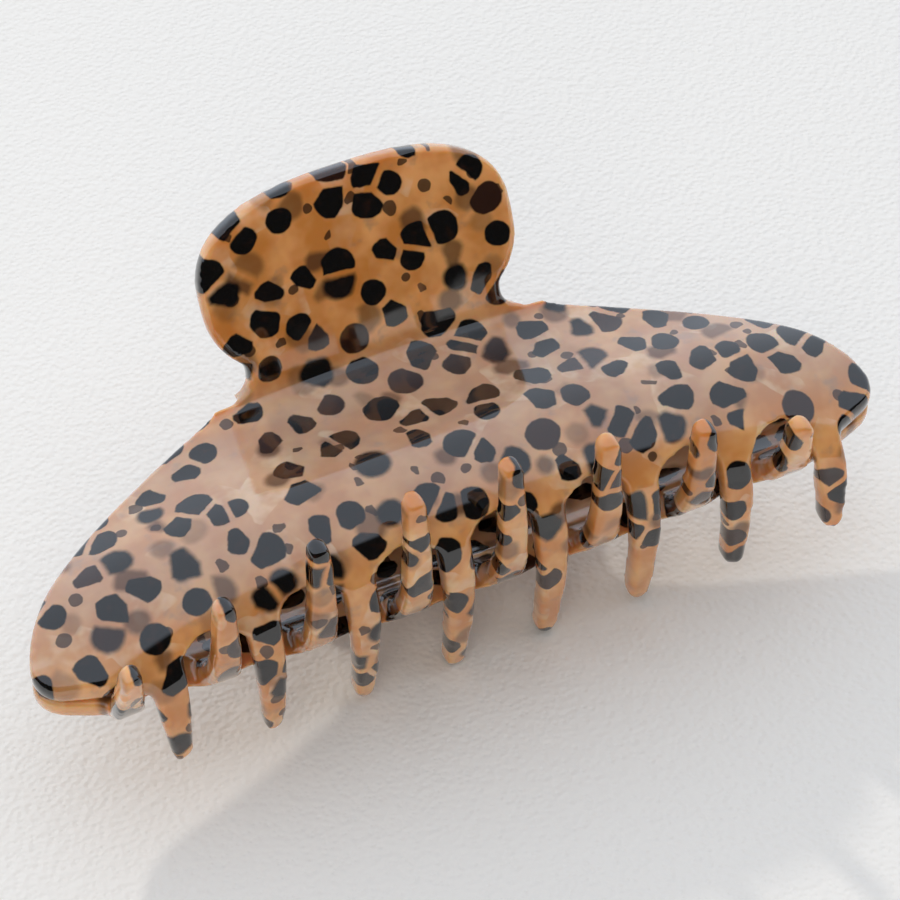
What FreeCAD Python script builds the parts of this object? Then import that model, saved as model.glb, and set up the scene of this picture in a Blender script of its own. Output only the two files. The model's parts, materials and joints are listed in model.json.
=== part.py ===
"""Large claw clip: two bent acetate jaws on a sprung steel hinge.

The clip frame has the hinge axis along X through the origin, +Y towards the thumb tabs
and +Z towards the upper jaw. At rest the clip lies on the tips of the upper jaw's middle
teeth and on the lower thumb tab, so every part is placed by one tilt and one shift.
"""
import FreeCAD, Part
import math
import os

from FreeCAD import Placement, Rotation, Vector

# name, millimetres, degrees or a plain count, and what it sets
DRIVING_SIZES = [
    ("half_length", 65.8, "hinge centre to either end of the acetate"),
    ("acetate_thickness", 3.4, "thickness of the bent acetate"),
    ("bow_share", 0.6, "share of the lengthwise bow that is quadratic, the rest is quartic"),
    ("neck_half_width", 20.0, "half the width of the joint between body and tab"),
    ("rear_centre", 193.0, "centre of the rear edge's long ellipse, beyond the far end"),
    ("rear_depth", 61.8, "short half axis of that ellipse"),
    ("rear_limit", 0.8, "how far behind the hinge the ellipse reaches at the neck"),
    ("end_reach", 32.2, "how far in front of the hinge the ellipse is centred"),
    ("end_corner", 27.2, "where the rear edge turns into the rounded front corner"),
    ("end_radius", 4.6, "rounding of the front corner of an end"),
    ("end_front_angle", 23.0, "slant of the front edge outside the eighth tooth"),
    ("end_back_angle", 17.0, "slant of the front edge that lies behind the other jaw's tooth"),
    ("tooth_count", 8, "teeth on each jaw"),
    ("tooth_pitch", 14.6, "tooth to tooth"),
    ("tooth_offset", 3.3, "sideways shift of a jaw's teeth, so that the two sets interleave"),
    ("tooth_root_width", 5.2, "tooth width under the arches"),
    ("tooth_tip_width", 3.2, "tooth width at the tip, which is a half round"),
    ("tooth_reach", 21.9, "how far the middle tips pass the hinge plane"),
    ("tooth_reach_loss", 0.72, "shortening of a tooth per square of its place from the middle"),
    ("arch_height", 8.4, "top of the middle arch above the hinge plane"),
    ("arch_loss", 0.3, "lowering of an arch per square of its place from the middle"),
    ("arch_rise", 2.6, "height of the rounded top of an arch"),
    ("tooth_shoulder", 3.0, "rounding beside the two outer teeth"),
    ("jaw_gap", 0.3, "gap between the closed jaws where their ends meet"),
    ("relief_reach", 36.3, "the roots of the outer teeth are cut back to this, clear of the other jaw"),
    ("front_limit", 60.0, "how far forward the cutting outlines run"),
    ("tooth_zone", 28.0, "everything further forward than this is cut by the tooth outline"),
    ("cut_height", 90.0, "height of the prisms that cut the outlines"),
    ("tab_half_width", 24.3, "half the width of a thumb tab"),
    ("tab_half_height", 14.5, "half the height of a thumb tab along its slope"),
    ("tab_middle", 14.7, "from the crease to the widest point of a tab"),
    ("tab_squareness", 2.6, "exponent of the tab's superellipse"),
    ("tab_slope", 60.0, "mean slope of a tab"),
    ("crease_height", 8.3, "foot of the tab's slope above the hinge plane"),
    ("neck_height", 5.0, "straight sides of the neck, along the tab's slope"),
    ("neck_overlap", 1.0, "how far the neck runs on into the body"),
    ("neck_fillet", 2.6, "radius between the neck and the body's rear edge"),
    ("leaf_length", 31.6, "hinge leaf along the axis"),
    ("leaf_depth", 11.0, "hinge leaf across the axis"),
    ("leaf_thickness", 0.8, "steel of the hinge leaves"),
    ("leaf_slope", 8.0, "slope of the seat that a leaf lies on"),
    ("leaf_rear", 1.2, "rear edge of a leaf in front of the axis"),
    ("leaf_height", 5.0, "top of a leaf's rear edge above the axis"),
    ("seat_margin", 0.15, "play around a leaf in its seat"),
    ("knuckle_diameter", 4.0, "curled knuckle"),
    ("knuckle_width", 2.6, "width of one knuckle"),
    ("knuckle_gap", 0.2, "play between neighbouring knuckles"),
    ("pin_diameter", 2.0, "hinge pin"),
    ("pin_play", 0.05, "gap around the pin in a knuckle"),
    ("pin_head_diameter", 3.4, "peened head of the pin"),
    ("pin_head_thickness", 0.8, "peened head of the pin"),
    ("screw_spacing", 20.0, "between the two screws of a leaf"),
    ("screw_setback", 6.6, "from a leaf's rear edge to its screws"),
    ("screw_diameter", 1.4, "screw shank"),
    ("screw_depth", 1.8, "screw shank in the acetate"),
    ("screw_head_diameter", 2.6, "flat screw head"),
    ("screw_head_thickness", 0.7, "flat screw head"),
    ("wire_diameter", 0.9, "spring wire"),
    ("coil_radius", 2.3, "middle of the wire to the axis"),
    ("coil_pitch", 1.2, "turn to turn"),
    ("coil_turns", 14.0, "turns, less the angle between the legs"),
    ("leg_slope", 70.0, "slope of a spring leg under its tab"),
    ("leg_length", 13.0, "straight leg of the spring"),
]

# Profile of a jaw's outer face, from the tip of the tab over the crease and the dome to the
# tip of a tooth: control points (Y, Z) of a cubic curve, in the middle and at either end.
MIDDLE_PROFILE = [
    (14.8, 33.9), (11.2, 27.6), (5.2, 17.4), (0.9, 9.6), (0.0, 8.1), (-1.8, 8.3),
    (-9.7, 8.6), (-21.3, 13.3), (-30.5, 11.5), (-37.4, 4.3), (-38.4, -8.1), (-35.4, -24.8),
]
END_PROFILE = [
    (14.8, 21.8), (11.5, 16.4), (5.5, 5.6), (0.5, -2.2), (-0.2, -5.8), (-2.2, -5.2),
    (-10.3, -0.1), (-21.0, 5.2), (-29.2, 3.0), (-39.0, 1.2), (-43.0, -5.1), (-47.5, -20.0),
]

INNER_STEPS = 44
TAB_STEPS = 48
CLEAR = 5.0             # mm that a cutting shape reaches past what it cuts
OVERLAP = 0.01          # mm that two joined cutting shapes share
REST_DEVIATION = 0.05   # mm, mesh deviation used to find the rest pose
TILT_LIMIT = 25.0       # degrees, more than the clip ever leans at rest
TILT_HALVINGS = 30
BLANK_SECTIONS = 12

doc = FreeCAD.newDocument("claw_clip")
sheet = doc.addObject("Spreadsheet::Sheet", "Sizes")
for row, (alias, value, note) in enumerate(DRIVING_SIZES, start=1):
    sheet.set(f"A{row}", note)
    sheet.set(f"B{row}", str(value))
    sheet.setAlias(f"B{row}", alias)
doc.recompute()


def size(alias):
    """A driving dimension, read from the spreadsheet."""
    return float(sheet.get(alias))


def bind(feature, **expressions):
    """Bind properties of a feature to expressions of spreadsheet cells."""
    for name, expression in expressions.items():
        feature.setExpression(name, expression)
    return feature


# ---------------------------------------------------------------- acetate jaws

def profile_section(share):
    """Closed section of the acetate; share runs from 0 in the middle of the clip to 1 at an end."""
    bow = size("bow_share") * share ** 2 + (1 - size("bow_share")) * share ** 4
    poles = [Vector(0, y0 + bow * (y1 - y0), z0 + bow * (z1 - z0))
             for (y0, z0), (y1, z1) in zip(MIDDLE_PROFILE, END_PROFILE)]
    spans = len(poles) - 3
    outer = Part.BSplineCurve()
    outer.buildFromPolesMultsKnots(poles, [4] + [1] * (spans - 1) + [4],
                                   [i / spans for i in range(spans + 1)], False, 3)
    inner_points = []
    for step in range(INNER_STEPS + 1):
        at = step / INNER_STEPS
        along = outer.tangent(at)[0]
        inwards = Vector(0, -along.z, along.y)
        inner_points.append(outer.value(at) + inwards * size("acetate_thickness"))
    inner = Part.BSplineCurve()
    inner.interpolate(inner_points)
    tooth_end = Part.LineSegment(outer.EndPoint, inner.EndPoint)
    tab_end = Part.LineSegment(inner.StartPoint, outer.StartPoint)
    wire = Part.Wire([curve.toShape() for curve in (outer, tooth_end, inner, tab_end)])
    wire.translate(Vector(size("half_length") * share, 0, 0))
    return wire


def jaw_blank():
    """The bent acetate before it is cut, lofted through sections along the clip."""
    shares = [2 * i / BLANK_SECTIONS - 1 for i in range(BLANK_SECTIONS + 1)]
    return Part.makeLoft([profile_section(share) for share in shares], True, False)


def tooth_centres():
    """X of each tooth, and its place counted from the middle of the row."""
    count = int(size("tooth_count"))
    places = [i - (count - 1) / 2 for i in range(count)]
    return [(size("tooth_offset") + size("tooth_pitch") * place, place) for place in places]


def tooth_outline():
    """Front outline: eight round-tipped teeth under rounded arches, as one closed face."""
    root = size("tooth_root_width") / 2
    tip = size("tooth_tip_width") / 2
    rise = size("arch_rise")
    side = size("half_length") + CLEAR
    ceiling = size("cut_height") / 2
    floor = size("jaw_gap") / 2
    shoulder = size("tooth_shoulder")
    inset = shoulder * (1 - math.sqrt(0.5))
    teeth = tooth_centres()

    def arch_top(place):
        return size("arch_height") - size("arch_loss") * place ** 2

    start = Vector(-side, 0, floor)
    edges = []
    here = start
    for number, (x, place) in enumerate(teeth):
        tip_centre = tip - (size("tooth_reach") - size("tooth_reach_loss") * place ** 2)
        if number == 0:
            bend = Vector(x - root - shoulder, 0, floor)
            edges.append(Part.LineSegment(here, bend).toShape())
            middle = Vector(x - root - inset, 0, floor - inset)
            here = Vector(x - root, 0, floor - shoulder)
            edges.append(Part.Arc(bend, middle, here).toShape())
        edges.append(Part.LineSegment(here, Vector(x - tip, 0, tip_centre)).toShape())
        bottom = Vector(x, 0, tip_centre - tip)
        edges.append(Part.Arc(Vector(x - tip, 0, tip_centre), bottom,
                              Vector(x + tip, 0, tip_centre)).toShape())
        if number == len(teeth) - 1:
            here = Vector(x + root, 0, floor - shoulder)
            edges.append(Part.LineSegment(Vector(x + tip, 0, tip_centre), here).toShape())
            middle = Vector(x + root + inset, 0, floor - inset)
            bend = Vector(x + root + shoulder, 0, floor)
            edges.append(Part.Arc(here, middle, bend).toShape())
            here = bend
            break
        right_root = arch_top(place + 0.5) - rise
        foot = Vector(x + root, 0, right_root)
        edges.append(Part.LineSegment(Vector(x + tip, 0, tip_centre), foot).toShape())
        next_foot = Vector(teeth[number + 1][0] - root, 0, right_root)
        half_gap = (next_foot.x - foot.x) / 2
        centre = Vector(foot.x + half_gap, 0, right_root)
        arch = Part.Ellipse(centre + Vector(half_gap, 0, 0), centre + Vector(0, 0, rise), centre)
        edges.append(Part.ArcOfEllipse(arch, 0, math.pi).toShape())
        here = next_foot
    corners = [here, Vector(side, 0, floor), Vector(side, 0, ceiling), Vector(-side, 0, ceiling),
               start]
    edges += [Part.LineSegment(a, b).toShape() for a, b in zip(corners, corners[1:])]
    return Part.Face(Part.Wire(Part.sortEdges(edges)[0]))


def plan_outline():
    """Plan of the body: an elliptic rear edge, rounded ends and a slanted front corner."""
    centre = Vector(-size("rear_centre"), -size("end_reach"), 0)
    long_half = size("half_length") + size("rear_centre")
    short_half = size("rear_depth")
    ellipse = Part.Ellipse(centre + Vector(long_half, 0, 0), centre + Vector(0, short_half, 0), centre)
    first = math.asin((size("end_reach") - size("end_corner")) / short_half)
    last = math.asin((size("end_reach") + size("rear_limit")) / short_half)
    rear = Part.ArcOfEllipse(ellipse, first, last).toShape()
    corner_start = ellipse.value(first)
    normal = math.atan2(math.sin(first) / short_half, math.cos(first) / long_half)
    teeth = tooth_centres()
    root = size("tooth_root_width") / 2
    edges = []
    fronts = []
    for side, tooth_side, slant_name in ((1, teeth[-1][0] + root, "end_front_angle"),
                                         (-1, root - teeth[0][0], "end_back_angle")):
        # the front corner is an arc from the rear edge to the slanted front edge
        slant = math.radians(size(slant_name))
        turned = slant - math.pi / 2
        radius = size("end_radius")
        arc_centre = corner_start - Vector(math.cos(normal), math.sin(normal), 0) * radius
        on_arc = [arc_centre + Vector(math.cos(angle), math.sin(angle), 0) * radius
                  for angle in (normal, (normal + turned) / 2, turned)]
        run = on_arc[2].x - tooth_side
        front = on_arc[2] - Vector(run, run * math.tan(slant), 0)
        points = [on_arc[2], front, Vector(tooth_side, -size("front_limit"), 0)]
        half = [rear, Part.Arc(*on_arc).toShape()]
        half += [Part.LineSegment(a, b).toShape() for a, b in zip(points, points[1:])]
        if side < 0:
            half = [edge.mirror(Vector(0, 0, 0), Vector(1, 0, 0)) for edge in half]
        edges += half
        fronts.append(Vector(side * tooth_side, -size("front_limit"), 0))
    rear_end = ellipse.value(last)
    edges.append(Part.LineSegment(*fronts).toShape())
    edges.append(Part.LineSegment(rear_end, Vector(-rear_end.x, rear_end.y, 0)).toShape())
    return Part.Face(Part.Wire(Part.sortEdges(edges)[0]))


def tab_outline():
    """Superellipse of the thumb tab in its own plane, X across and Y up the slope."""
    wide = size("tab_half_width")
    high = size("tab_half_height")
    power = 2 / size("tab_squareness")
    points = []
    for i in range(TAB_STEPS):
        angle = 2 * math.pi * i / TAB_STEPS
        c, s = math.cos(angle), math.sin(angle)
        points.append(Vector(wide * math.copysign(abs(c) ** power, c),
                             size("tab_middle") + high * math.copysign(abs(s) ** power, s), 0))
    curve = Part.BSplineCurve()
    curve.interpolate(points, PeriodicFlag=True)
    return Part.Face(Part.Wire(curve.toShape()))


def neck_outline():
    """Neck between body and tab in the tab's plane, filleted where it meets the body's rear edge."""
    neck = size("neck_half_width")
    radius = size("neck_fillet")
    inset = radius * (1 - math.sqrt(0.5))
    below = -size("neck_overlap")
    above = size("neck_height")
    edges = []
    for side in (1, -1):
        corners = [Vector(0, below, 0), Vector(side * (neck + radius), below, 0),
                   Vector(side * (neck + radius), 0, 0)]
        edges += [Part.LineSegment(a, b).toShape() for a, b in zip(corners, corners[1:])]
        foot = Vector(side * neck, radius, 0)
        edges.append(Part.Arc(corners[2], Vector(side * (neck + inset), inset, 0), foot).toShape())
        corners = [foot, Vector(side * neck, above, 0), Vector(0, above, 0)]
        edges += [Part.LineSegment(a, b).toShape() for a, b in zip(corners, corners[1:])]
    return Part.Face(Part.Wire(Part.sortEdges(edges)[0]))


def leaf_frame():
    """Origin at the rear edge of a leaf's top face, Y running back down the slope."""
    return Placement(Vector(0, -size("leaf_rear"), size("leaf_height")),
                     Rotation(Vector(1, 0, 0), -size("leaf_slope")))


def screw_places():
    """Where a leaf's screws stand in the leaf frame."""
    half = size("screw_spacing") / 2
    return [Vector(x, -size("screw_setback"), 0) for x in (-half, half)]


def jaw_shape():
    """The finished jaw in the clip frame, as the upper one."""
    tall = size("cut_height")
    body = plan_outline().extrude(Vector(0, 0, tall))
    body.translate(Vector(0, 0, -tall / 2))
    teeth = tooth_outline().extrude(Vector(0, size("front_limit") - size("tooth_zone"), 0))
    teeth.translate(Vector(0, -size("front_limit"), 0))
    end = size("half_length") + CLEAR
    rear = Part.makeBox(2 * end, size("tooth_zone") + CLEAR, tall / 2,
                        Vector(-end, -size("tooth_zone") - OVERLAP, size("jaw_gap") / 2))
    deep = 4 * size("acetate_thickness")
    tab = tab_outline().extrude(Vector(0, 0, deep))
    tab = tab.fuse(neck_outline().extrude(Vector(0, 0, deep)))
    tab.Placement = Placement(Vector(0, 0, size("crease_height")),
                              Rotation(Vector(1, 0, 0), size("tab_slope"))) \
        * Placement(Vector(0, 0, -deep / 2), Rotation())
    keep = body.common(teeth.fuse(rear)).fuse(tab)
    jaw = jaw_blank().common(keep)

    root = size("tooth_root_width") / 2
    centres = tooth_centres()
    for start, stop in ((-end, centres[0][0] - root), (centres[-1][0] - root, end)):
        relief = Part.makeBox(stop - start, size("relief_reach"), size("relief_reach"))
        relief.translate(Vector(start, -size("relief_reach"), size("jaw_gap") / 2 - size("relief_reach")))
        jaw = jaw.cut(relief)

    margin = size("seat_margin")
    seat = Part.makeBox(size("leaf_length") + 2 * margin, size("leaf_depth") + 2 * margin, CLEAR,
                        Vector(-size("leaf_length") / 2 - margin, -size("leaf_depth") - margin, -CLEAR))
    seat.Placement = leaf_frame()
    jaw = jaw.cut(seat)
    for place in screw_places():
        hole = Part.makeCylinder(size("screw_diameter") / 2, size("screw_depth") + CLEAR,
                                 place - Vector(0, 0, CLEAR))
        hole.Placement = leaf_frame()
        jaw = jaw.cut(hole)
    return jaw.removeSplitter()


# ---------------------------------------------------------------- placements

UPRIGHT = Placement()
FLIPPED = Placement(Vector(0, 0, 0), Rotation(Vector(0, 1, 0), 180))
SIDES = (("upper", UPRIGHT), ("lower", FLIPPED))


def rest_placement(jaw):
    """Tilt and shift that lay the clip on its teeth and on its lower tab, centred on the floor."""
    points = [Vector(p) for p in jaw.tessellate(REST_DEVIATION)[0]]
    upper = points
    lower = [FLIPPED.multVec(p) for p in points]
    tooth_tips = [p for p in upper if p.y < 0]
    lower_tab = [p for p in lower if p.y > 0]
    low = 0.0
    high = TILT_LIMIT
    for _ in range(TILT_HALVINGS):
        tilt = (low + high) / 2
        turn = Rotation(Vector(1, 0, 0), tilt)
        if min(turn.multVec(p).z for p in lower_tab) < min(turn.multVec(p).z for p in tooth_tips):
            low = tilt
        else:
            high = tilt
    turned = [turn.multVec(p) for p in upper + lower]
    middle_y = (min(p.y for p in turned) + max(p.y for p in turned)) / 2
    return Placement(Vector(0, -middle_y, -min(p.z for p in turned)), turn)


jaw = jaw_shape()
REST = rest_placement(jaw)
sub_parts = []


def finish_part(feature, label, own=UPRIGHT):
    """Name a sub-part and lay it in its place at rest."""
    feature.Label = label
    feature.Placement = REST * own
    sub_parts.append(feature)


for side, turn in SIDES:
    feature = doc.addObject("Part::Feature", f"Jaw_{side}")
    feature.Shape = jaw
    finish_part(feature, f"jaw_{side}", turn)


# ---------------------------------------------------------------- hinge

ALONG_X = Rotation(Vector(0, 1, 0), 90)


def cylinder_along_x(name, start_x, **expressions):
    """A cylinder on the hinge axis, from start_x towards +X."""
    feature = doc.addObject("Part::Cylinder", name)
    bind(feature, **expressions)
    feature.Placement = Placement(Vector(start_x, 0, 0), ALONG_X)
    return feature


def knuckle_starts():
    """The near edges of a leaf's two knuckles; the flipped leaf's fall beside them."""
    width = size("knuckle_width")
    inner = size("leaf_length") / 2 - 2 * width - size("knuckle_gap")
    return [inner, -size("leaf_length") / 2]


def fuse(name, pieces):
    feature = doc.addObject("Part::MultiFuse", name)
    feature.Shapes = pieces
    return feature


def cut(name, base, tool):
    feature = doc.addObject("Part::Cut", name)
    feature.Base = base
    feature.Tool = tool
    return feature


def make_leaf(side, turn):
    """A steel leaf: a plate on the jaw's seat, two arms and two knuckles curled round the pin."""
    plate = doc.addObject("Part::Box", f"Plate_{side}")
    bind(plate, Length="Sizes.leaf_length", Width="Sizes.leaf_depth", Height="Sizes.leaf_thickness")
    plate.Placement = leaf_frame() * Placement(
        Vector(-size("leaf_length") / 2, -size("leaf_depth"), -size("leaf_thickness")), Rotation())
    pieces = [plate]
    for number, start in enumerate(knuckle_starts()):
        pieces.append(cylinder_along_x(f"Knuckle_{side}_{number}", start,
                                       Radius="Sizes.knuckle_diameter / 2",
                                       Height="Sizes.knuckle_width"))
        arm = doc.addObject("Part::Box", f"Arm_{side}_{number}")
        bind(arm, Length="Sizes.knuckle_width", Width="Sizes.leaf_thickness",
             Height="Sizes.leaf_height - Sizes.leaf_thickness / 2")
        arm.Placement = Placement(Vector(start, -size("knuckle_diameter") / 2, 0), Rotation())
        pieces.append(arm)
    holes = [cylinder_along_x(f"Bore_{side}", -size("leaf_length") / 2,
                              Radius="Sizes.pin_diameter / 2 + Sizes.pin_play",
                              Height="Sizes.leaf_length")]
    for number, place in enumerate(screw_places()):
        hole = doc.addObject("Part::Cylinder", f"Leaf_hole_{side}_{number}")
        bind(hole, Radius="Sizes.screw_diameter / 2", Height="3 * Sizes.leaf_thickness")
        below = Vector(0, 0, 2 * size("leaf_thickness"))
        hole.Placement = leaf_frame() * Placement(place - below, Rotation())
        holes.append(hole)
    leaf = cut(f"Leaf_{side}", fuse(f"Leaf_solid_{side}", pieces), fuse(f"Leaf_holes_{side}", holes))
    finish_part(leaf, f"hinge_leaf_{side}", turn)


def make_screws(side, turn):
    """Two small screws that hold a leaf from inside, blind in the acetate."""
    screws = []
    for number, place in enumerate(screw_places()):
        shank = doc.addObject("Part::Cylinder", f"Shank_{side}_{number}")
        bind(shank, Radius="Sizes.screw_diameter / 2",
             Height="Sizes.screw_depth + Sizes.leaf_thickness")
        shank.Placement = Placement(place - Vector(0, 0, size("leaf_thickness")), Rotation())
        head = doc.addObject("Part::Cylinder", f"Head_{side}_{number}")
        bind(head, Radius="Sizes.screw_head_diameter / 2", Height="Sizes.screw_head_thickness")
        drop = size("leaf_thickness") + size("screw_head_thickness")
        head.Placement = Placement(place - Vector(0, 0, drop), Rotation())
        screws.append(fuse(f"Screw_{side}_{number}", [shank, head]))
    group = doc.addObject("Part::Compound", f"Screws_{side}")
    group.Links = screws
    finish_part(group, f"leaf_screws_{side}", turn * leaf_frame())


def make_pin():
    """The hinge pin with a peened head outside each outer knuckle."""
    end = size("leaf_length") / 2 + size("knuckle_gap") / 2
    shank = cylinder_along_x("Pin_shank", -end, Radius="Sizes.pin_diameter / 2",
                             Height="Sizes.leaf_length + Sizes.knuckle_gap")
    heads = [
        cylinder_along_x(f"Pin_head_{number}", start, Radius="Sizes.pin_head_diameter / 2",
                         Height="Sizes.pin_head_thickness")
        for number, start in enumerate((end, -end - size("pin_head_thickness")))
    ]
    finish_part(fuse("Pin", [shank] + heads), "hinge_pin")


def make_spring():
    """Closely wound torsion spring round the pin; its legs push the two tabs apart."""
    radius = size("coil_radius")
    slope = math.radians(size("leg_slope"))
    # both legs leave on the tab side, so the angle between their ends is missing from the turns
    turns = size("coil_turns") - (180 - 2 * size("leg_slope")) / 360
    height = size("coil_pitch") * turns
    helix = Part.makeHelix(size("coil_pitch"), height, radius)
    spin = Placement(Vector(0, 0, 0), Rotation(Vector(0, 0, 1), 180 - size("leg_slope")))
    helix.Placement = Placement(Vector(-height / 2, 0, 0), ALONG_X) * spin
    across = Vector(0, math.sin(slope), math.cos(slope)) * radius
    along = Vector(0, math.cos(slope), math.sin(slope)) * size("leg_length")
    lower_end = Vector(-height / 2, across.y, across.z)
    upper_end = Vector(height / 2, across.y, -across.z)
    lower_tip = lower_end + Vector(0, along.y, -along.z)
    lower_leg = Part.LineSegment(lower_tip, lower_end).toShape()
    upper_leg = Part.LineSegment(upper_end, upper_end + along).toShape()
    path = Part.Wire([lower_leg] + helix.Edges + [upper_leg])
    circle = Part.Circle(lower_tip, lower_end - lower_tip, size("wire_diameter") / 2).toShape()
    feature = doc.addObject("Part::Feature", "Spring")
    feature.Shape = path.makePipeShell([Part.Wire(circle)], True, True)
    finish_part(feature, "torsion_spring")


for side, turn in SIDES:
    make_leaf(side, turn)
    make_screws(side, turn)
make_pin()
make_spring()


# ---------------------------------------------------------------- checks and output

doc.recompute()
for feature in doc.Objects:
    if "Invalid" in feature.State or "Error" in feature.State:
        raise RuntimeError(f"{feature.Label} failed: {feature.State}")
os.makedirs("parts", exist_ok=True)
for feature in sub_parts:
    shape = feature.Shape
    if shape.isNull() or not shape.isValid() or not shape.Solids:
        raise RuntimeError(f"{feature.Label} has no valid solid")
    shape.exportStep(f"parts/{feature.Label}.step")
    box = shape.BoundBox
    print(f"{feature.Label}: {len(shape.Solids)} solid(s), {shape.Volume:.1f} mm3, "
          f"x {box.XMin:.1f}..{box.XMax:.1f} y {box.YMin:.1f}..{box.YMax:.1f} "
          f"z {box.ZMin:.1f}..{box.ZMax:.1f}")
print(f"tilt {math.degrees(REST.Rotation.Angle):.2f} deg, base {REST.Base}")
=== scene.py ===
"""Looks of the claw clip: polished tortoise acetate jaws on a sprung steel hinge.

The scene is in metres in the row frame. The clip frame, used in mm for the jaws' bent sheet and
the spring, has its X along the hinge axis through the origin, +Y towards the tabs and +Z to the
upper jaw.
"""

import json
import math

import bpy
import numpy as np
from mathutils import Matrix, Vector


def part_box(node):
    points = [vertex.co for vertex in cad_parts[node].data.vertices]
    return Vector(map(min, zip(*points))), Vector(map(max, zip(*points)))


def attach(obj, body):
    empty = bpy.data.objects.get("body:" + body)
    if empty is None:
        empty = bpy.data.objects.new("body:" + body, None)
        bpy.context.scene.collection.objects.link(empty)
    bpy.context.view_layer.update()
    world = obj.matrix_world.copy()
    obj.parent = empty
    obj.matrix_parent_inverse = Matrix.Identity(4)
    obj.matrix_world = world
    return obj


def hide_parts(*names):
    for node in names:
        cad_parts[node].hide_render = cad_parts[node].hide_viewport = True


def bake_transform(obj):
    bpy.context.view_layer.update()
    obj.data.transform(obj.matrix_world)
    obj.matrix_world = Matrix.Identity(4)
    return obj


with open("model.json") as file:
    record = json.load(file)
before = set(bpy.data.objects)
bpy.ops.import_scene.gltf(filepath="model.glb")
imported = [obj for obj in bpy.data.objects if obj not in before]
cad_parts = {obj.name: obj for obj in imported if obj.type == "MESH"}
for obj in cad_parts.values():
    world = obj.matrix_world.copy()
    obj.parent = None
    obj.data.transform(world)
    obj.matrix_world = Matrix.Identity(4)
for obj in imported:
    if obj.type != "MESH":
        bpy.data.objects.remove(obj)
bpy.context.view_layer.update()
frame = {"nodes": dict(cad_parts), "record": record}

MM = 0.001

# ---------------------------------------------------------------- the clip frame

pin_low, pin_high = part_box("hinge_pin")
HINGE = (pin_low + pin_high) / 2
grip_axis = frame["record"]["mounts"][0]["axis"]
REST_TILT = math.atan2(-grip_axis[2], -grip_axis[1])
CLIP_TO_ROW = Matrix.Translation(HINGE) @ Matrix.Rotation(REST_TILT, 4, "X")
FLIP = Matrix.Rotation(math.pi, 4, "Y")

# the bent sheet: control points (Y, Z) in mm of its outer face, in the middle and at an end
HALF_LENGTH = 65.8
THICKNESS = 3.4
BOW_SHARE = 0.6   # the rest of the change towards the end profile comes in with the fourth power of x
MIDDLE_PROFILE = [
    (14.8, 33.9), (11.2, 27.6), (5.2, 17.4), (0.9, 9.6), (0.0, 8.1), (-1.8, 8.3),
    (-9.7, 8.6), (-21.3, 13.3), (-30.5, 11.5), (-37.4, 4.3), (-38.4, -8.1), (-35.4, -24.8),
]
END_PROFILE = [
    (14.8, 21.8), (11.5, 16.4), (5.5, 5.6), (0.5, -2.2), (-0.2, -5.8), (-2.2, -5.2),
    (-10.3, -0.1), (-21.0, 5.2), (-29.2, 3.0), (-39.0, 1.2), (-43.0, -5.1), (-47.5, -20.0),
]


def bspline_weights(count, steps):
    """Weights of the control points of a clamped uniform cubic curve at evenly spaced places."""
    knots = np.concatenate([[0] * 3, np.linspace(0, 1, count - 2), [1] * 3])
    at = np.linspace(0, 1, steps)
    basis = np.zeros((steps, len(knots) - 1))
    for i in range(len(knots) - 1):
        basis[:, i] = (at >= knots[i]) & (at < knots[i + 1])
    basis[-1, count - 1] = 1
    for degree in range(1, 4):
        following = np.zeros((steps, len(knots) - 1 - degree))
        for i in range(len(knots) - 1 - degree):
            left = knots[i + degree] - knots[i]
            right = knots[i + degree + 1] - knots[i + 1]
            if left > 0:
                following[:, i] += (at - knots[i]) / left * basis[:, i]
            if right > 0:
                following[:, i] += (knots[i + degree + 1] - at) / right * basis[:, i + 1]
        basis = following
    return basis


PROFILE_STEPS = 401
PROFILE_WEIGHTS = bspline_weights(len(MIDDLE_PROFILE), PROFILE_STEPS)
CREASE_SHARE = 0.28   # how far along the curve the crease between tab and body lies
CREASE_STEP = int(PROFILE_STEPS * CREASE_SHARE)


def profiles(x):
    """Outer-face curves (Y, Z) in mm at each x, as an array of x by step by 2."""
    share = np.clip(np.abs(x) / HALF_LENGTH, 0, 1)
    bow = BOW_SHARE * share ** 2 + (1 - BOW_SHARE) * share ** 4
    middle = PROFILE_WEIGHTS @ np.array(MIDDLE_PROFILE)
    end = PROFILE_WEIGHTS @ np.array(END_PROFILE)
    return middle[None] + bow[:, None, None] * (end - middle)[None]


# ---------------------------------------------------------------- acetate jaws

VOXEL = 0.42          # mm
ROUNDING_PASSES = 14
FACE_NOISE = 0.09     # mm off a broad face that counts as lying on it
POINTS_AT_ONCE = 4000
FACE_REACH = 4 * FACE_NOISE   # mm from a broad face where its points stop being moved
LOWER_SHEET_SHIFT = 0.31   # metres across the sheet, which give the lower jaw a pattern of its own


def object_from(name, vertices, faces):
    """A smooth-shaded mesh object in the scene."""
    mesh = bpy.data.meshes.new(name)
    mesh.from_pydata(vertices, [], faces)
    mesh.polygons.foreach_set("use_smooth", [True] * len(mesh.polygons))
    mesh.update()
    made = bpy.data.objects.new(name, mesh)
    bpy.context.scene.collection.objects.link(made)
    return made


def coordinates(mesh):
    """The mesh's points as an array."""
    flat = np.zeros(len(mesh.vertices) * 3)
    mesh.vertices.foreach_get("co", flat)
    return flat.reshape(-1, 3)


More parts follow.
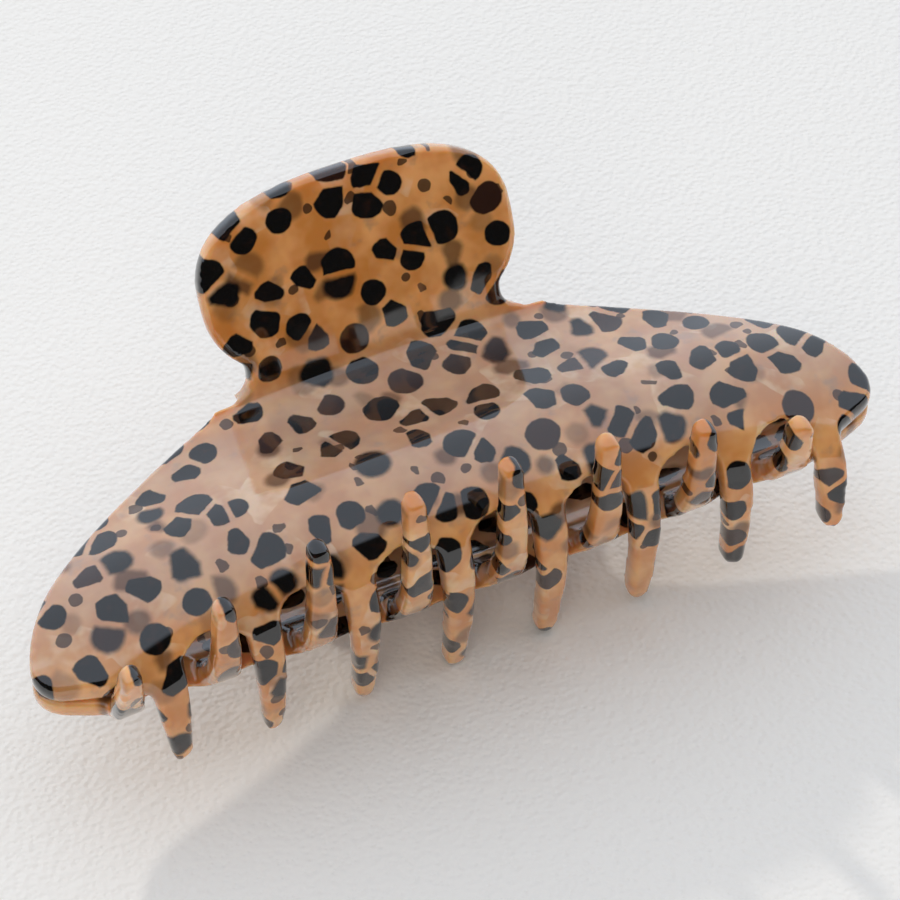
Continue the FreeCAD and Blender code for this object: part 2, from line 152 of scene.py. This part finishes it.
def remeshed(node):
    """Even quads over a CAD node, as points in mm in the clip frame, and the faces."""
    copy = bpy.data.objects.new("remesh", frame["nodes"][node].data.copy())
    bpy.context.scene.collection.objects.link(copy)
    copy.data.transform(Matrix.Scale(1 / MM, 4) @ CLIP_TO_ROW.inverted())
    remesh = copy.modifiers.new("Remesh", "REMESH")
    remesh.mode = "VOXEL"
    remesh.voxel_size = VOXEL
    evaluated = copy.evaluated_get(bpy.context.evaluated_depsgraph_get())
    mesh = bpy.data.meshes.new_from_object(evaluated)
    points = coordinates(mesh)
    faces = [tuple(polygon.vertices) for polygon in mesh.polygons]
    edges = np.zeros(len(mesh.edges) * 2, int)
    mesh.edges.foreach_get("vertices", edges)
    bpy.data.objects.remove(copy)
    return points, faces, edges.reshape(-1, 2)


def relax(points, edges, passes, share=0.5):
    """Moves each point towards the mean of its neighbours, which rounds and polishes the rim."""
    count = np.bincount(edges.ravel(), minlength=len(points))[:, None]
    for _ in range(passes):
        total = np.zeros_like(points)
        for axis in range(3):
            total[:, axis] = (np.bincount(edges[:, 0], points[edges[:, 1], axis], len(points))
                              + np.bincount(edges[:, 1], points[edges[:, 0], axis], len(points)))
        points = points + share * (total / count - points)
    return points


def sheet_places(points):
    """Arc length from the crease, depth under the outer face and the face's normal, per point."""
    along = np.zeros(len(points))
    depth = np.zeros(len(points))
    foot = np.zeros((len(points), 2))
    normal = np.zeros((len(points), 2))
    for chunk in np.array_split(np.arange(len(points)), max(1, len(points) // POINTS_AT_ONCE)):
        curves = profiles(points[chunk, 0])
        offset = curves - points[chunk, None, 1:]
        nearest = np.argmin((offset ** 2).sum(2), axis=1)
        nearest = np.clip(nearest, 1, PROFILE_STEPS - 2)
        rows = np.arange(len(chunk))
        before = curves[rows, nearest - 1]
        after = curves[rows, nearest + 1]
        here = curves[rows, nearest]
        tangent = after - before
        tangent /= np.linalg.norm(tangent, axis=1)[:, None]
        inwards = np.stack([-tangent[:, 1], tangent[:, 0]], axis=1)
        away = points[chunk, 1:] - here
        slide = (away * tangent).sum(1)
        steps = np.linalg.norm(np.diff(curves, axis=1), axis=2)
        lengths = np.concatenate([np.zeros((len(chunk), 1)), np.cumsum(steps, axis=1)], axis=1)
        along[chunk] = lengths[rows, nearest] - lengths[:, CREASE_STEP] + slide
        foot[chunk] = here + slide[:, None] * tangent
        depth[chunk] = (away * inwards).sum(1)
        normal[chunk] = inwards
    return along, depth, foot, normal


def polish_faces(points):
    """Lays the points of the two broad faces exactly on the bent sheet and leaves the rim alone."""
    _, depth, foot, inwards = sheet_places(points)
    half = THICKNESS / 2
    from_middle = depth - half
    inset = half - np.abs(from_middle)
    settled = np.where(inset < FACE_NOISE, 0, inset - FACE_NOISE * np.exp(1 - inset / FACE_NOISE))
    new_depth = half + np.sign(from_middle) * (half - settled)
    beyond = np.abs(inset) > FACE_REACH
    new_depth = np.where(beyond, depth, new_depth)
    result = points.copy()
    result[:, 1:] = foot + inwards * new_depth[:, None]
    return result


def jaw_surface():
    """The polished jaw in the clip frame in mm, with its places on the flat sheet."""
    points, faces, edges = remeshed("jaw_upper")
    points = relax(points, edges, ROUNDING_PASSES)
    points = polish_faces(points)
    along, depth, _, _ = sheet_places(points)
    return points, faces, along, depth


def make_jaw(side, turn, surface, material):
    """One jaw laid in its place, riding on its body."""
    points, faces, along, depth = surface
    jaw = object_from(f"acetate_jaw_{side}", (points * MM).tolist(), faces)
    place = CLIP_TO_ROW @ turn
    jaw.data.transform(place)
    sheet = jaw.data.attributes.new("sheet", "FLOAT_VECTOR", "POINT")
    shift = 0.0 if side == "upper" else LOWER_SHEET_SHIFT
    flat = np.stack([points[:, 0] * MM + shift, along * MM, depth * MM], axis=1)
    sheet.data.foreach_set("vector", flat.ravel())
    jaw.data.materials.append(material)
    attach(jaw, side)
    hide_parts(f"jaw_{side}")


# ---------------------------------------------------------------- spring

TUBE_SIDES = 20
DOME_SHARE = 0.45   # of the wire's radius


def tube(name, path, radius):
    """A round wire along a list of points, with domed ends."""
    points = [Vector(point) for point in path]
    normal = (points[1] - points[0]).orthogonal().normalized()
    vertices = []
    faces = []
    for i, point in enumerate(points):
        ahead = points[min(i + 1, len(points) - 1)] - points[max(i - 1, 0)]
        tangent = ahead.normalized()
        normal = (normal - tangent * normal.dot(tangent)).normalized()
        side = tangent.cross(normal)
        for k in range(TUBE_SIDES):
            angle = 2 * math.pi * k / TUBE_SIDES
            vertices.append(point + radius * (math.cos(angle) * normal + math.sin(angle) * side))
    for i in range(len(points) - 1):
        for k in range(TUBE_SIDES):
            a = i * TUBE_SIDES + k
            b = i * TUBE_SIDES + (k + 1) % TUBE_SIDES
            faces.append((a, b, b + TUBE_SIDES, a + TUBE_SIDES))
    for ring, outwards in ((0, points[0] - points[1]), (len(points) - 1, points[-1] - points[-2])):
        tip = len(vertices)
        vertices.append(points[ring] + outwards.normalized() * radius * DOME_SHARE)
        for k in range(TUBE_SIDES):
            a = ring * TUBE_SIDES + k
            b = ring * TUBE_SIDES + (k + 1) % TUBE_SIDES
            faces.append((b, a, tip) if ring == 0 else (a, b, tip))
    return object_from(name, vertices, faces)


# the wire and its coil, in mm
WIRE_RADIUS = 0.45
COIL_RADIUS = 2.3
COIL_PITCH = 1.2
COIL_TURNS = 14.0
LEG_SLOPE = math.radians(70)
LEG_LENGTH = 13.0
STEPS_PER_TURN = 40
LEG_STEPS = 12


def make_spring(material):
    """The torsion spring round the pin."""
    turns = COIL_TURNS - (math.pi - 2 * LEG_SLOPE) / (2 * math.pi)
    half_height = COIL_PITCH * turns / 2
    start = math.pi / 2 - LEG_SLOPE
    leg_start = Vector((-half_height, COIL_RADIUS * math.sin(LEG_SLOPE),
                        COIL_RADIUS * math.cos(LEG_SLOPE)))
    leg = Vector((0, math.cos(LEG_SLOPE), -math.sin(LEG_SLOPE))) * LEG_LENGTH
    path = [leg_start + leg * (1 - i / LEG_STEPS) for i in range(LEG_STEPS)]
    steps = int(turns * STEPS_PER_TURN)
    for i in range(steps + 1):
        angle = start + 2 * math.pi * turns * i / steps
        path.append(Vector((-half_height + 2 * half_height * i / steps,
                            COIL_RADIUS * math.cos(angle), COIL_RADIUS * math.sin(angle))))
    end = path[-1]
    up = Vector((0, math.cos(LEG_SLOPE), math.sin(LEG_SLOPE))) * LEG_LENGTH
    path += [end + up * i / LEG_STEPS for i in range(1, LEG_STEPS + 1)]
    spring = tube("spring_wire", [point * MM for point in path], WIRE_RADIUS * MM)
    spring.data.transform(CLIP_TO_ROW)
    spring.data.materials.append(material)
    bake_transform(spring)
    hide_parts("torsion_spring")


# ---------------------------------------------------------------- materials

CHIP_ROUNDING = 0.05      # of a chip's corners, in cells
CHIP_SCATTER = 0.86       # 0 puts the cells on a grid, 1 scatters them freely
CHIP_TURN = 6.28
CHIP_HALF_SIDES = (1.02, 0.78)   # of a squarish chip, in its radius
CHIP_SLANT = (0.62, 0.78, 0)     # the direction that its cut corner faces
CHIP_SLANT_REACH = 0.62          # from its middle to that cut, in its radius
CHIP_SPREAD = 0.02               # how far it may pass its own circle, in cells


class Graph:
    """Short calls for building one material's nodes."""

    def __init__(self, name):
        self.material = bpy.data.materials.new(name)
        self.material.use_nodes = True
        self.tree = self.material.node_tree
        self.shader = self.tree.nodes["Principled BSDF"]

    def add(self, kind, values=None, **settings):
        node = self.tree.nodes.new(f"ShaderNode{kind}")
        for key, value in settings.items():
            setattr(node, key, value)
        for socket, value in (values or {}).items():
            self.put(node.inputs[socket], value)
        return node

    def put(self, socket, value):
        if isinstance(value, bpy.types.NodeSocket):
            self.tree.links.new(value, socket)
        else:
            socket.default_value = value

    def math(self, operation, *values):
        node = self.add("Math", operation=operation)
        for socket, value in zip(node.inputs, values):
            self.put(socket, value)
        return node.outputs[0]

    def vector(self, operation, *values, scale=None):
        node = self.add("VectorMath", operation=operation)
        for socket, value in zip(node.inputs, values):
            self.put(socket, value)
        if scale is not None:
            self.put(node.inputs["Scale"], scale)
        return node.outputs["Value" if operation in ("LENGTH", "DOT_PRODUCT") else 0]

    def step(self, value, start, end, low=0.0, high=1.0):
        """A smooth step from low to high between start and end."""
        node = self.add("MapRange", interpolation_type="SMOOTHSTEP")
        for socket, item in zip(node.inputs, (value, start, end, low, high)):
            self.put(socket, item)
        return node.outputs[0]

    def mix(self, factor, first, second):
        node = self.add("Mix", data_type="RGBA")
        self.put(node.inputs[0], factor)
        self.put(node.inputs[6], first)
        self.put(node.inputs[7], second)
        return node.outputs[2]

    def noise(self, vector, scale, detail=2.0, roughness=0.5):
        return self.add("TexNoise", {"Vector": vector, "Scale": scale, "Detail": detail,
                                     "Roughness": roughness})

    def rounder(self, first, second):
        """The larger of two distances, with the corner between them rounded."""
        return self.math("SMOOTH_MAX", first, second, CHIP_ROUNDING)

    def finish(self, **inputs):
        for name, value in inputs.items():
            self.put(self.shader.inputs[name.replace("_", " ")], value)
        return self.material


def chips(graph, place, cell, seed, gap, size_low, size_high, missing):
    """Signed distance, in cells, to the chips cast in the acetate, and each chip's own numbers."""
    scaled = graph.vector("SCALE", graph.vector("ADD", place, (seed, 0.7 * seed, 0)), scale=1 / cell)
    flat = {"Vector": scaled, "Scale": 1.0, "Randomness": CHIP_SCATTER}
    near = graph.add("TexVoronoi", flat, voronoi_dimensions="2D", feature="F1")
    edge = graph.add("TexVoronoi", flat, voronoi_dimensions="2D", feature="DISTANCE_TO_EDGE")
    own = graph.add("SeparateColor", {0: near.outputs["Color"]})
    red, green, blue = own.outputs
    offset = graph.vector("SUBTRACT", scaled, near.outputs["Position"])
    offset = graph.vector("MULTIPLY", offset, (1, 1, 0))
    angle = graph.math("MULTIPLY", green, CHIP_TURN)
    turned = graph.add("VectorRotate", {"Vector": offset, "Angle": angle}, rotation_type="Z_AXIS").outputs[0]
    parts = graph.add("SeparateXYZ", {0: turned})
    across = graph.math("ABSOLUTE", parts.outputs[0])
    upward = graph.math("ABSOLUTE", parts.outputs[1])
    radius = graph.step(blue, 0.0, 1.0, size_low, size_high)
    disc = graph.math("SUBTRACT", graph.vector("LENGTH", offset), radius)
    half_sides = [graph.math("MULTIPLY", radius, side) for side in CHIP_HALF_SIDES]
    block = graph.rounder(graph.math("SUBTRACT", across, half_sides[0]),
                          graph.math("SUBTRACT", upward, half_sides[1]))
    slant = graph.vector("DOT_PRODUCT", turned, CHIP_SLANT)
    cut = graph.math("SUBTRACT", slant, graph.math("MULTIPLY", radius, CHIP_SLANT_REACH))
    block = graph.rounder(block, cut)
    block = graph.math("MAXIMUM", block, graph.math("SUBTRACT", disc, CHIP_SPREAD))
    squarish = graph.math("GREATER_THAN", red, 0.5)
    shape = graph.math("ADD", graph.math("MULTIPLY", squarish, block),
                       graph.math("MULTIPLY", graph.math("SUBTRACT", 1.0, squarish), disc))
    shape = graph.rounder(shape, graph.math("SUBTRACT", gap, edge.outputs["Distance"]))
    absent = graph.math("LESS_THAN", graph.math("FRACT", graph.math("MULTIPLY", green, 7.3)), missing)
    shape = graph.math("ADD", shape, absent)
    return shape, red, green, blue


HONEY_DEEP = (0.66, 0.26, 0.055, 1)
HONEY_PALE = (0.86, 0.46, 0.17, 1)
# painted reflection: a milky colour that stands for the window's haze reflected on the body
PAINTED_HAZE_COLOUR = (0.46, 0.38, 0.35, 1)
SMOKE = (0.36, 0.23, 0.15, 1)
PEARL = (0.86, 0.70, 0.50, 1)
BROWN_DEEP = (0.10, 0.038, 0.016, 1)
CHIP_BLACK = (0.0035, 0.003, 0.003, 1)
CHIP_BROWN = (0.034, 0.011, 0.006, 1)
PAINTED_HAZE_START = (-4.0, 6.0)     # mm from the crease where the painted reflection tint comes in
PAINTED_HAZE_END = (26.0, 38.0)      # and where it goes out, over the front bend
# how strong the painted reflection tint is on the body and on the teeth
PAINTED_HAZE_ON_BODY = 0.52
PAINTED_HAZE_ON_TEETH = 0.06


def acetate():
    """Blonde tortoise acetate: black and brown chips and pearly clouds in honey-coloured sheet."""
    graph = Graph("tortoise_acetate")
    sheet = graph.add("Attribute", attribute_name="sheet", attribute_type="GEOMETRY").outputs["Vector"]
    place = graph.vector("SCALE", sheet, scale=1 / MM)
    wobble = graph.noise(place, 0.16, 2.0).outputs["Color"]
    wobble = graph.vector("SCALE", graph.vector("SUBTRACT", wobble, (0.5, 0.5, 0.5)), scale=1.2)
    fine = graph.noise(place, 0.9, 2.0).outputs["Color"]
    fine = graph.vector("SCALE", graph.vector("SUBTRACT", fine, (0.5, 0.5, 0.5)), scale=0.3)
    warped = graph.vector("ADD", graph.vector("ADD", place, wobble), fine)
    flat = graph.vector("MULTIPLY", warped, (1, 1, 0))

    clouds = graph.noise(warped, 0.11, 3.0, 0.55).outputs["Fac"]
    honey = graph.mix(graph.step(clouds, 0.35, 0.68), HONEY_DEEP, HONEY_PALE)
    smoke = graph.noise(warped, 0.2, 3.0, 0.6).outputs["Fac"]
    honey = graph.mix(graph.step(smoke, 0.56, 0.74, 0.0, 0.55), honey, SMOKE)

    # a tint on the body that stands for a part of the haze that it reflects in the photograph
    along = graph.add("SeparateXYZ", {0: place}).outputs[1]
    painted_haze = graph.math("MULTIPLY", graph.step(along, *PAINTED_HAZE_START),
                      graph.step(along, *PAINTED_HAZE_END, PAINTED_HAZE_ON_BODY, PAINTED_HAZE_ON_TEETH))
    painted_haze = graph.math("MULTIPLY", painted_haze,
                      graph.step(graph.noise(place, 0.06, 2.0).outputs["Fac"], 0.3, 0.6, 0.75, 1.0))
    honey = graph.mix(painted_haze, honey, PAINTED_HAZE_COLOUR)

    pearl = graph.add("TexVoronoi", {"Vector": graph.vector("SCALE", flat, scale=1 / 5.1), "Scale": 1.0},
                      voronoi_dimensions="2D", feature="SMOOTH_F1")
    pearl.inputs["Smoothness"].default_value = 0.35
    plate = graph.add("SeparateColor", {0: pearl.outputs["Color"]}).outputs[0]
    pearly = graph.math("MULTIPLY", graph.step(plate, 0.66, 0.82),
                        graph.step(graph.noise(place, 0.3, 2.0, 0.5).outputs["Fac"], 0.35, 0.7))
    honey = graph.mix(graph.math("MULTIPLY", pearly, 0.45), honey, PEARL)

    deep, _, deep_green, _ = chips(graph, flat, cell=6.9, seed=31.0, gap=0.06,
                                   size_low=0.22, size_high=0.36, missing=0.45)
    deep_mask = graph.math("MULTIPLY", graph.step(deep, -0.1, 0.07, 1.0, 0.0),
                           graph.step(deep_green, 0.0, 1.0, 0.35, 0.85))
    honey = graph.mix(deep_mask, honey, BROWN_DEEP)

    top, red, _, blue = chips(graph, flat, cell=6.2, seed=0.0, gap=0.07,
                              size_low=0.32, size_high=0.44, missing=0.02)
    soft = graph.step(graph.math("FRACT", graph.math("MULTIPLY", red, 5.1)), 0.78, 0.84, 0.026, 0.075)
    top_mask = graph.step(top, graph.math("MULTIPLY", soft, -1.0), soft, 1.0, 0.0)
    clear = graph.step(graph.math("FRACT", graph.math("MULTIPLY", blue, 9.7)), 0.78, 0.84)
    tone = graph.mix(clear, CHIP_BLACK, CHIP_BROWN)
    blot = graph.noise(warped, 0.55, 2.0).outputs["Fac"]
    tone = graph.mix(graph.step(blot, 0.55, 0.72, 0.0, 0.5), tone, CHIP_BROWN)
    small, _, _, _ = chips(graph, flat, cell=4.4, seed=87.0, gap=0.12,
                           size_low=0.16, size_high=0.26, missing=0.72)
    small_mask = graph.step(small, -0.02, 0.02, 1.0, 0.0)
    colour = graph.mix(graph.math("MULTIPLY", small_mask, 0.85), honey, CHIP_BROWN)
    colour = graph.mix(top_mask, colour, tone)

    polish = graph.noise(place, 0.35, 2.0).outputs["Fac"]
    scuffs = graph.noise(graph.vector("MULTIPLY", place, (0.25, 2.0, 1.0)), 1.6, 3.0, 0.6).outputs["Fac"]
    roughness = graph.math("ADD", graph.step(polish, 0.3, 0.7, 0.035, 0.075),
                           graph.step(scuffs, 0.62, 0.8, 0.0, 0.06))
    ripple = graph.noise(place, 0.12, 1.0).outputs["Fac"]
    bump = graph.add("Bump", {"Height": ripple, "Strength": 0.12, "Distance": 0.0006})
    shader = graph.shader
    shader.inputs["IOR"].default_value = 1.5
    shader.inputs["Subsurface Weight"].default_value = 0.8
    shader.inputs["Subsurface Radius"].default_value = (1.0, 0.5, 0.2)
    shader.inputs["Subsurface Scale"].default_value = 0.003
    # the coat is there for stronger reflections than the acetate's own
    shader.inputs["Coat Weight"].default_value = 1.0
    shader.inputs["Coat Roughness"].default_value = 0.03
    return graph.finish(Base_Color=colour, Roughness=roughness, Normal=bump.outputs[0])


METAL_STAIN = 0.62   # how dark a stained place is, as a share of the metal's colour


def metal(name, colour, grain_scale, rough_low, rough_high, grain=(1, 1, 1)):
    """Plated steel with drawn grain, faint stains and soft scratches."""
    graph = Graph(name)
    place = graph.add("TexCoord").outputs["Object"]
    drawn = graph.vector("MULTIPLY", place, grain)
    lines = graph.noise(drawn, grain_scale, 5.0, 0.65).outputs["Fac"]
    stain = graph.noise(place, 160.0, 3.0, 0.6).outputs["Fac"]
    dull = tuple(METAL_STAIN * channel for channel in colour[:3]) + (1,)
    shade = graph.mix(graph.step(stain, 0.4, 0.75, 0.0, 0.6), colour, dull)
    rough = graph.math("ADD", graph.step(lines, 0.3, 0.7, rough_low, rough_high),
                       graph.step(stain, 0.5, 0.8, 0.0, 0.1))
    bump = graph.add("Bump", {"Height": lines, "Strength": 0.18, "Distance": 0.00005})
    graph.shader.inputs["Metallic"].default_value = 1.0
    return graph.finish(Base_Color=shade, Roughness=rough, Normal=bump.outputs[0])


def dress(node, material):
    """Gives a carried-over CAD node its procedural material."""
    mesh = frame["nodes"][node].data
    mesh.materials.clear()
    mesh.materials.append(material)


# ---------------------------------------------------------------- floor, light and camera

FLOOR_FRONT = -0.30
FLOOR_BACK = 2.5
FLOOR_HALF_WIDTH = 2.5
TABLE_DEEP = (0.915, 0.865, 0.79, 1)
TABLE_PALE = (0.935, 0.885, 0.81, 1)


def make_floor():
    """A plain pale table top with a fine leather grain."""
    corners = [(-FLOOR_HALF_WIDTH, FLOOR_FRONT, 0), (FLOOR_HALF_WIDTH, FLOOR_FRONT, 0),
               (FLOOR_HALF_WIDTH, FLOOR_BACK, 0), (-FLOOR_HALF_WIDTH, FLOOR_BACK, 0)]
    floor = object_from("floor", corners, [(0, 1, 2, 3)])
    graph = Graph("pale_table")
    place = graph.add("TexCoord").outputs["Object"]
    grain = graph.add("TexVoronoi", {"Vector": place, "Scale": 1100.0}, feature="SMOOTH_F1")
    broad = graph.noise(place, 300.0, 4.0, 0.6).outputs["Fac"]
    height = graph.math("ADD", grain.outputs["Distance"], graph.math("MULTIPLY", broad, 0.35))
    bump = graph.add("Bump", {"Height": height, "Strength": 0.6, "Distance": 0.0004})
    tint = graph.mix(graph.noise(place, 14.0, 3.0).outputs["Fac"], TABLE_DEEP, TABLE_PALE)
    floor.data.materials.append(graph.finish(Base_Color=tint, Roughness=0.7, Normal=bump.outputs[0]))


def area_light(name, place, target, size, power, colour):
    """A square light turned towards its target and kept out of reflections."""
    light = bpy.data.lights.new(name, "AREA")
    light.shape = "SQUARE"
    light.size = size
    light.energy = power
    light.color = colour
    made = bpy.data.objects.new(name, light)
    made.location = place
    made.rotation_euler = (Vector(target) - Vector(place)).to_track_quat("-Z", "Y").to_euler()
    made.visible_glossy = False
    bpy.context.scene.collection.objects.link(made)


LIGHT_AIM = Vector((0, -0.02, 0))   # from the hinge to about the middle of the jaws' bodies
SHADOW_RUN = Vector((0.22, -1.44, -1.0))
KEY_COLOUR = (1.0, 0.97, 0.93)
KEY_POWER = 5.6
KEY_DISTANCE = 1.5
KEY_SIZE = 0.055
FILL_COLOUR = (1.0, 0.95, 0.88)
FILL_POWER = 2.8
FILL_DISTANCE = 1.0
FILL_SIZE = 0.6
FILL_DIRECTION = Vector((-0.35, -0.75, 0.56))
SURROUND = (0.035, 0.034, 0.032, 1)
WINDOW_GLOW = (0.80, 0.88, 1.01, 1)
WINDOW_DIRECTION = Vector((0.21, 0.58, 0.79)).normalized()
WINDOW_SPREAD = math.radians(80)
WINDOW_CORE = math.radians(75)


def make_lights():
    """A small key from behind, a soft fill in front and a big cool window overhead."""
    aim = HINGE + LIGHT_AIM
    key_place = aim - SHADOW_RUN.normalized() * KEY_DISTANCE
    area_light("key", key_place, aim, KEY_SIZE, KEY_POWER, KEY_COLOUR)
    fill_place = aim + FILL_DIRECTION.normalized() * FILL_DISTANCE
    area_light("fill", fill_place, aim, FILL_SIZE, FILL_POWER, FILL_COLOUR)
    world = bpy.data.worlds.new("surround")
    world.use_nodes = True
    tree = world.node_tree
    background = tree.nodes["Background"]
    direction = tree.nodes.new("ShaderNodeTexCoord").outputs["Generated"]
    facing = tree.nodes.new("ShaderNodeVectorMath")
    facing.operation = "DOT_PRODUCT"
    facing.inputs[1].default_value = WINDOW_DIRECTION
    tree.links.new(direction, facing.inputs[0])
    window = tree.nodes.new("ShaderNodeMapRange")
    window.interpolation_type = "SMOOTHSTEP"
    window.inputs["From Min"].default_value = math.cos(WINDOW_SPREAD)
    window.inputs["From Max"].default_value = math.cos(WINDOW_CORE)
    tree.links.new(facing.outputs["Value"], window.inputs["Value"])
    glow = tree.nodes.new("ShaderNodeMix")
    glow.data_type = "RGBA"
    tree.links.new(window.outputs[0], glow.inputs[0])
    glow.inputs[6].default_value = SURROUND
    glow.inputs[7].default_value = WINDOW_GLOW
    tree.links.new(glow.outputs[2], background.inputs["Color"])
    bpy.context.scene.world = world
    bpy.context.scene.view_settings.view_transform = "Standard"


VIEW_AZIMUTH = math.radians(23.7)
VIEW_ELEVATION = math.radians(52.0)
VIEW_DISTANCE = 0.5
FOCAL_LENGTH = 135.9
AIM_RIGHT = 0.00988
AIM_DOWN = 0.00909
CLIP_START = 0.01
CLIP_END = 20


def make_camera():
    """The camera, placed by its direction to the clip's own frame."""
    forward = Vector((math.sin(VIEW_AZIMUTH) * math.cos(VIEW_ELEVATION),
                      math.cos(VIEW_AZIMUTH) * math.cos(VIEW_ELEVATION), -math.sin(VIEW_ELEVATION)))
    right = Vector((math.cos(VIEW_AZIMUTH), -math.sin(VIEW_AZIMUTH), 0))
    up = right.cross(forward)
    turn = CLIP_TO_ROW.to_3x3()
    eye = CLIP_TO_ROW @ (-forward * VIEW_DISTANCE)
    look = (turn @ (forward * VIEW_DISTANCE + right * AIM_RIGHT - up * AIM_DOWN)).normalized()
    new_right = look.cross(turn @ up).normalized()
    new_up = new_right.cross(look)
    camera = bpy.data.objects.new("camera", bpy.data.cameras.new("camera"))
    camera.data.lens = FOCAL_LENGTH
    camera.data.clip_start = CLIP_START
    camera.data.clip_end = CLIP_END
    axes = Matrix((new_right, new_up, -look)).transposed().to_4x4()
    camera.matrix_world = Matrix.Translation(eye) @ axes
    bpy.context.scene.collection.objects.link(camera)
    bpy.context.scene.camera = camera


# ---------------------------------------------------------------- the scene

tortoise = acetate()
surface = jaw_surface()
make_jaw("upper", Matrix.Identity(4), surface, tortoise)
make_jaw("lower", FLIP, surface, tortoise)
make_spring(metal("spring_wire_steel", (0.74, 0.74, 0.75, 1), 900.0, 0.12, 0.24))
leaf_metal = metal("nickel_strip", (0.66, 0.64, 0.60, 1), 700.0, 0.2, 0.36, (0.15, 1, 1))
for side in ("upper", "lower"):
    dress(f"hinge_leaf_{side}", leaf_metal)
    dress(f"leaf_screws_{side}", metal(f"screw_steel_{side}", (0.6, 0.59, 0.57, 1), 1200.0, 0.2, 0.34))
dress("hinge_pin", metal("pin_steel", (0.72, 0.72, 0.73, 1), 1000.0, 0.1, 0.22, (0.1, 1, 1)))
make_floor()
make_lights()
make_camera()
